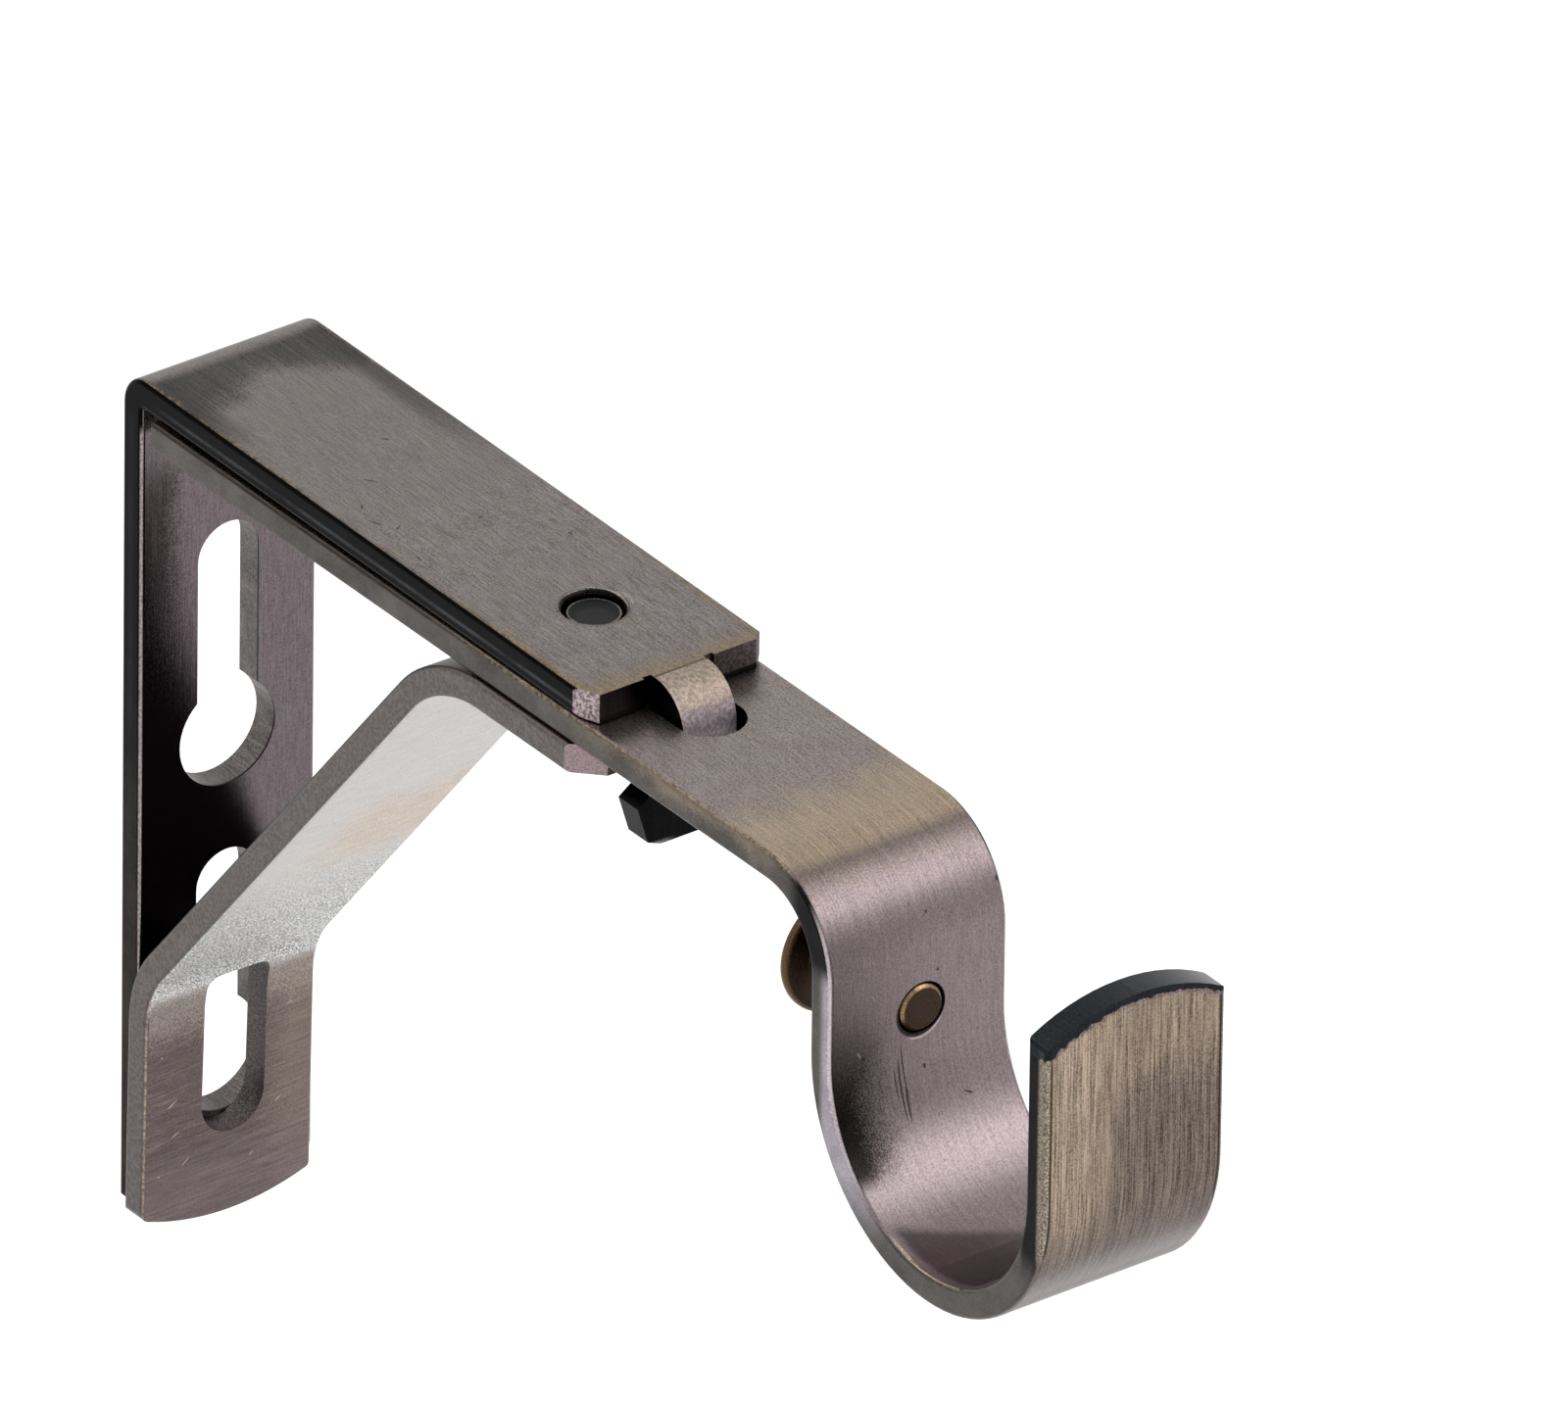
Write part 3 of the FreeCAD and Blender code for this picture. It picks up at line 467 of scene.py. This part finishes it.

# brace: brushed across the foot, grainy on the slanted face, where the pale colour is a painted reflection with a
# painted warm glow and painted glints
braceLook = {
    "brush": (0, 1, 0), "brushTurn": -2.0, "speckleShare": 0.5,
    "spots": {
        "footGlints": [
            ((6.0, -8.4, -27.2), (2.0, 0.75, 0.07), "X_AXIS", -33),
            ((6.0, -8.0, -30.6), (2.0, 0.6, 0.06), "X_AXIS", -30),
            ((6.0, -9.6, -21.7), (2.0, 0.12, 0.1), "X_AXIS", 0),
            ((6.0, 3.9, -30.6), (2.0, 0.5, 0.06), "X_AXIS", -25),
            ((6.0, -6.8, -33.9), (2.0, 0.7, 0.06), "X_AXIS", -38),
            ((6.0, 5.2, -20.6), (2.0, 0.4, 0.06), "X_AXIS", -10),
            ((6.0, 0.8, -35.6), (2.0, 0.3, 0.06), "X_AXIS", -40),
            ((6.0, -9.9, -34.6), (2.0, 0.13, 0.1), "X_AXIS", 0)],
    },
    "dark": "#4f4645", "pale": "#6c605f", "roughness": 0.34,
    "bumpStrength": 0.6, "grainDepth": 0.00003,
    "zones": [
        {"dark": "#6d615b", "pale": "#93847a", "amount": 0.55, "by": "streaks",
         "where": [("raggedY", 0.5, 6.0), footFront]},
        {"dark": "#615658", "pale": "#776b6e", "amount": 0.65, "by": "streaks",
         "where": [("raggedZ", -32.0, -37.0), footFront]},
        {"dark": "#8d7a68", "pale": "#a08d79", "amount": 0.2, "where": [("scratches", 0.60, 0.68), footFront]},
        {"dark": "#2d2625", "pale": "#3a3231", "amount": 0.18, "where": [("scratches", 0.40, 0.33), footFront]},
        {"dark": "#a99c92", "pale": "#cabdb0", "amount": 0.7, "where": [("footGlints", 1.1, 0.6), footFront]},
        # painted reflection: the front of the slanted face is painted pale
        {"dark": "#b3afac", "pale": "#cfcbc8", "roughness": 0.5,
         "where": [("facingX", 0.998, 0.93), ("facingZ", -0.05, -0.33), ("facingX", 0.2, 0.5)]},
        # painted warm glow on the middle of the slanted face
        {"dark": "#9d8d7d", "pale": "#dccab8", "amount": 0.6,
         "where": [("facingX", 0.998, 0.93), ("facingZ", -0.3, -0.5), ("raggedZ", 18.0, 12.5),
                   ("raggedZ", 2.0, 7.0), ("y", -8.0, 0.0)]},
        # painted glints: white specks on the lower part of the slanted face
        {"dark": "#3c3836", "pale": "#ffffff", "amount": 0.95, "roughness": 0.55, "by": "sparkle",
         "where": [("facingX", 0.998, 0.9), ("facingX", 0.3, 0.5), ("facingZ", -0.03, -0.3),
                   ("raggedZ", 8.0, -8.0)]},
        # painted highlight: pale speckle on the lower bend
        {"dark": "#7d746f", "pale": "#b3a89f", "amount": 0.6, "roughness": 0.5, "by": "sparkle",
         "where": [("facingX", 0.93, 0.985), ("raggedZ", -21.5, -17.0), ("facingSide", 0.3, 0.1)]},
        {"dark": "#544e4c", "pale": "#696361", "roughness": 0.36, "by": "grit", "where": [sideFace]},
        {"dark": "#6f625a", "pale": "#b6a498", "amount": 0.75, "by": "grit",
         "where": [("facingSide", 0.35, 0.55), ("facingSide", 0.85, 0.7), ("facingX", 0.3, 0.5),
                   ("z", -13.0, -17.0)]},
        {"dark": "#2a2625", "pale": "#6b6462", "roughness": 0.45, "by": "sparkle",
         "where": [("facingX", 0.6, 0.3), ("outward", 6.6, 6.0), ("z", -11.0, -12.5), ("z", -36.0, -34.5)]},
        {"dark": "#74656a", "pale": "#a99699", "roughness": 0.5, "by": "streaks",
         "where": [("x", 69.9, 70.2), ("facingX", 0.4, 0.6), ("z", 39.0, 40.0)]},
        {"dark": "#1c191a", "pale": "#322d2f", "roughness": 0.4, "where": [("facingX", -0.2, -0.5)]},
    ],
}

# clamp screw: blackened steel, with a thin pale ring round its end
clampScrewLook = {
    "brush": (0, 0, 0), "speckleShare": 0.5,
    "spots": {"fromAxis": [((60.3, 0.0, 0.0), (1.0, 1.0, farOff), None, 0)],
              "endSheen": [((61.2, -0.6, 49.2), (1.7, 1.7, 2.0), None, 0)]},
    "dark": "#0f0f11", "pale": "#1f2022", "roughness": 0.34,
    "bumpStrength": 0.5, "grainDepth": 0.00003,
    "zones": [
        {"dark": "#131415", "pale": "#1b1d1e", "glancing": "#f0f0f0",
         "where": [("endSheen", 0.9, 1.3), ("z", 48.0, 48.5)]},
        {"dark": "#0a0a0a", "pale": "#161616", "where": [("fromAxis", 2.5, 2.6), ("z", 44.0, 45.0)]},
        {"dark": "#4d4a45", "pale": "#958f86", "by": "sparkle",
         "where": [("fromAxis", 2.36, 2.44), ("fromAxis", 2.6, 2.52), ("z", 44.0, 45.0)]},
    ],
}

# thumb screw: disc head on a collar, threaded shank and plain tip, sizes in metres along X from the wall
thumbScrew = {
    "axisY": 0.0004,
    "axisZ": 0.0311,
    "headOutline": [
        (0.0971, 0.0), (0.0971, 0.0048), (0.0972, 0.0058), (0.09735, 0.0062), (0.0976, 0.0063), (0.0979,
                                                                                                 0.0063),
        (0.09812, 0.0062), (0.0983, 0.0059), (0.0983, 0.0039), (0.0984, 0.0037), (0.0986, 0.0036), (0.0992,
                                                                                                    0.0036),
        (0.0995, 0.0033), (0.0995, 0.0)],
    "tipOutline": [(0.1096, 0.0), (0.1096, 0.0021), (0.1099, 0.0025), (0.11045, 0.0025), (0.1108, 0.00222),
                   (0.1109, 0.00205), (0.1109, 0.0)],
    "thread": {"pitch": 0.0008, "rootRadius": 0.00207, "crestRadius": 0.0025, "from": 0.0991, "to": 0.1098,
               "turns": 14},
    "flanks": (0.10, 0.44, 0.56, 0.90),
    "facets": 64,
    "weld": 1e-6,
    "smoothDegrees": 28,
}


def drawOutline(name, points):
    # a line of vertices in the XZ plane, drawn from one vertex by extruding
    bpy.ops.object.select_all(action="DESELECT")
    bpy.ops.mesh.primitive_plane_add(size=0.001, location=(0, 0, 0))
    outline = bpy.context.object
    outline.name = name
    bpy.ops.object.mode_set(mode="EDIT")
    bpy.ops.mesh.select_all(action="SELECT")
    bpy.ops.mesh.merge(type="CENTER")
    last = Vector((0.0, 0.0, 0.0))
    for along, radius in points:
        place = Vector((along, 0.0, radius))
        if last.length:
            bpy.ops.mesh.extrude_vertices_move(TRANSFORM_OT_translate={"value": place - last})
        else:
            bpy.ops.transform.translate(value=place)
        last = place
    bpy.ops.object.mode_set(mode="OBJECT")
    return outline


def turnOutline(outline, pitch=0.0, turns=1):
    # the outline goes round the X axis, and on along it by the pitch in each turn
    bpy.ops.object.modifier_add(type="SCREW")
    lathe = outline.modifiers[-1]
    lathe.axis = "X"
    lathe.screw_offset = pitch
    lathe.iterations = turns
    lathe.steps = lathe.render_steps = thumbScrew["facets"]
    lathe.use_merge_vertices = pitch == 0.0
    lathe.merge_threshold = thumbScrew["weld"]
    bpy.ops.object.modifier_apply(modifier=lathe.name)
    bpy.ops.object.mode_set(mode="EDIT")
    bpy.ops.mesh.select_all(action="SELECT")
    bpy.ops.mesh.remove_doubles(threshold=thumbScrew["weld"])
    bpy.ops.object.mode_set(mode="OBJECT")
    return outline


def modelThumbScrew():
    head = turnOutline(drawOutline("thumb_screw", thumbScrew["headOutline"]))
    tip = turnOutline(drawOutline("screw_tip", thumbScrew["tipOutline"]))
    thread = thumbScrew["thread"]
    start, pitch = thread["from"] - thread["pitch"], thread["pitch"]
    root, crest = thread["rootRadius"], thread["crestRadius"]
    rise, top, fall, foot = (start + share * pitch for share in thumbScrew["flanks"])
    ridge = [(start, root), (rise, root), (top, crest), (fall, crest), (foot, root), (start + pitch, root)]
    shank = turnOutline(drawOutline("screw_thread", ridge), pitch, thread["turns"])
    bpy.ops.object.mode_set(mode="EDIT")
    for place, outer in ((thread["from"], False), (thread["to"], True)):
        bpy.ops.mesh.select_all(action="SELECT")
        bpy.ops.mesh.bisect(
            plane_co=(place, 0, 0), plane_no=(1, 0, 0), use_fill=True, clear_inner=not outer, clear_outer=outer)
    bpy.ops.object.mode_set(mode="OBJECT")
    bpy.ops.object.select_all(action="DESELECT")
    for shell in (tip, shank, head):
        shell.select_set(True)
    bpy.context.view_layer.objects.active = head
    bpy.ops.object.join()
    bpy.ops.object.mode_set(mode="EDIT")
    bpy.ops.mesh.select_all(action="SELECT")
    bpy.ops.mesh.normals_make_consistent(inside=False)
    bpy.ops.object.mode_set(mode="OBJECT")
    head.location = (0.0, thumbScrew["axisY"], thumbScrew["axisZ"])
    bpy.ops.object.transform_apply(location=True, rotation=False, scale=False)
    bpy.ops.object.shade_smooth_by_angle(angle=math.radians(thumbScrew["smoothDegrees"]))
    return head


# its finish: dark bronze, with painted highlights on the rims of the tip and the head
poleScrewLook = {
    "brush": (0, 0, 0), "speckleShare": 0.5,
    "spots": {"fromAxis": [((0.0, 0.4, 31.1), (farOff, 1.0, 1.0), None, 0)]},
    "dark": "#281f18", "pale": "#3c3025", "roughness": 0.3,
    "bumpStrength": 0.5, "grainDepth": 0.00003,
    "zones": [
        {"dark": "#2d2220", "pale": "#3d2f2b", "amount": 0.7,
         "where": [("fromAxis", 1.5, 0.6), ("x", 110.0, 110.3)]},
        # painted highlight round the rim of the tip
        {"dark": "#6b5541", "pale": "#a08463", "amount": 0.9,
         "where": [("fromAxis", 2.02, 2.12), ("fromAxis", 2.42, 2.32), ("x", 110.0, 110.3)]},
        {"dark": "#1d1612", "pale": "#2a211a", "where": [("fromAxis", 2.32, 2.42), ("x", 109.0, 110.0)]},
        # painted highlight round the rim of the head
        {"dark": "#4d3b29", "pale": "#6b543a", "amount": 0.8,
         "where": [("x", 99.0, 98.6), ("fromAxis", 5.9, 6.15)]},
    ],
}

looks = {
    "wall_arm": wallArmLook, "cradle_arm": cradleLook, "brace": braceLook,
    "clamp_screw": clampScrewLook,
}
for node, look in looks.items():
    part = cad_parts[node]
    finish = platedFinish(node.replace("_", " ") + " plating", look)
    part.data.materials.clear()
    part.data.materials.append(finish)
    part.material_slots[0].link = "OBJECT"
    part.material_slots[0].material = finish
print("finishes made")

thumbScrewPiece = modelThumbScrew()
thumbScrewPiece.data.materials.append(platedFinish("thumb screw plating", poleScrewLook))
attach(thumbScrewPiece, "pole_screw_body")
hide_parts("pole_screw")
print("thumb screw modelled,", len(thumbScrewPiece.data.polygons), "faces")


# floor, lamps and world


studio = {
    "floorSize": 8.0,
    "floorHeight": -0.070,
    "floorColour": "#e8e8e8",
    "floorLift": 0.26,
    "worldStrength": 0.88,
    "lampAim": (0.06, 0.0, 0.01),
}

softboxes = {
    "key softbox": {"place": (0.62, 0.55, 0.80), "size": (0.85, 0.60), "energy": 5.5},
    "fill softbox": {"place": (-0.30, -0.45, 0.95), "size": (0.8, 0.8), "energy": 2.0},
}

bpy.ops.object.select_all(action="DESELECT")
bpy.ops.mesh.primitive_plane_add(size=studio["floorSize"], location=(0, 0, studio["floorHeight"]))
floor = bpy.context.object
floor.name = "floor"
floorPaint = newMaterial("pale studio floor")


def backgroundRays(holder):
    # 1 for what the camera sees directly, in a reflection or through glass
    seen = addNode(holder, "LightPath").outputs
    reflected = calculate(holder, "MAXIMUM", seen["Is Camera Ray"], seen["Is Glossy Ray"])
    return calculate(holder, "MAXIMUM", reflected, seen["Is Transmission Ray"])


matt = addNode(floorPaint, "BsdfDiffuse", {"Color": studio["floorColour"]})
lift = calculate(floorPaint, "MULTIPLY", backgroundRays(floorPaint), studio["floorLift"])
glow = addNode(floorPaint, "Emission", {"Color": "#ffffff", "Strength": lift})
both = addNode(floorPaint, "AddShader", {0: matt.outputs[0], 1: glow.outputs[0]})
addNode(floorPaint, "OutputMaterial", {"Surface": both.outputs[0]})
floor.data.materials.append(floorPaint)

world = bpy.data.worlds.new("studio")
bpy.context.scene.world = world
world.use_nodes = True
world.node_tree.nodes.clear()
brightness = addNode(world, "MapRange",
                     {0: backgroundRays(world), 3: studio["worldStrength"], 4: 1.0}).outputs[0]
sky = addNode(world, "Background", {"Color": "#ffffff", "Strength": brightness})
addNode(world, "OutputWorld", {"Surface": sky.outputs[0]})


for name, softbox in softboxes.items():
    bpy.ops.object.light_add(type="AREA", location=softbox["place"])
    lamp = bpy.context.object
    lamp.name = name
    lamp.data.shape = "RECTANGLE"
    lamp.data.size, lamp.data.size_y = softbox["size"]
    lamp.data.energy = softbox["energy"]
    beam = Vector(studio["lampAim"]) - Vector(softbox["place"])
    lamp.rotation_euler = beam.to_track_quat("-Z", "Y").to_euler()
    lamp.visible_camera = False
print("studio lit")


# camera at the photo's angle

view = {
    "azimuth": 53.525,       # degrees round the bracket, 0 looks along +Y
    "elevation": 30.597,
    "roll": 0.573,
    "anchor": (0.050, 0.0, 0.010),
    "aimRight": 0.02407,     # from the anchor to the picture's middle
    "aimUp": 0.02123,
    "distance": 4.0,
    "lens": 990.4,
    "sensorWidth": 36.0,
    "clipEnd": 20.0,
}

turn, tilt, roll = (math.radians(view[key]) for key in ("azimuth", "elevation", "roll"))
back = Vector((math.sin(turn) * math.cos(tilt), -math.cos(turn) * math.cos(tilt), math.sin(tilt)))
level = Vector((math.cos(turn), math.sin(turn), 0.0))
upright = back.cross(level)
right = level * math.cos(roll) + upright * math.sin(roll)
up = upright * math.cos(roll) - level * math.sin(roll)
anchor = Vector(view["anchor"])
aim = anchor + right * view["aimRight"] + up * view["aimUp"]
eye = anchor + back * view["distance"]
away = (eye - aim).normalized()
right = up.cross(away).normalized()
up = away.cross(right)
bpy.ops.object.camera_add(location=eye)
camera = bpy.context.object
camera.name = "camera"
camera.matrix_world = Matrix.Translation(eye) @ Matrix((right, up, away)).transposed().to_4x4()
camera.data.lens = view["lens"]
camera.data.sensor_width = view["sensorWidth"]
camera.data.clip_end = view["clipEnd"]
bpy.context.scene.camera = camera
bpy.context.scene.view_settings.view_transform = "Standard"
print("camera set")
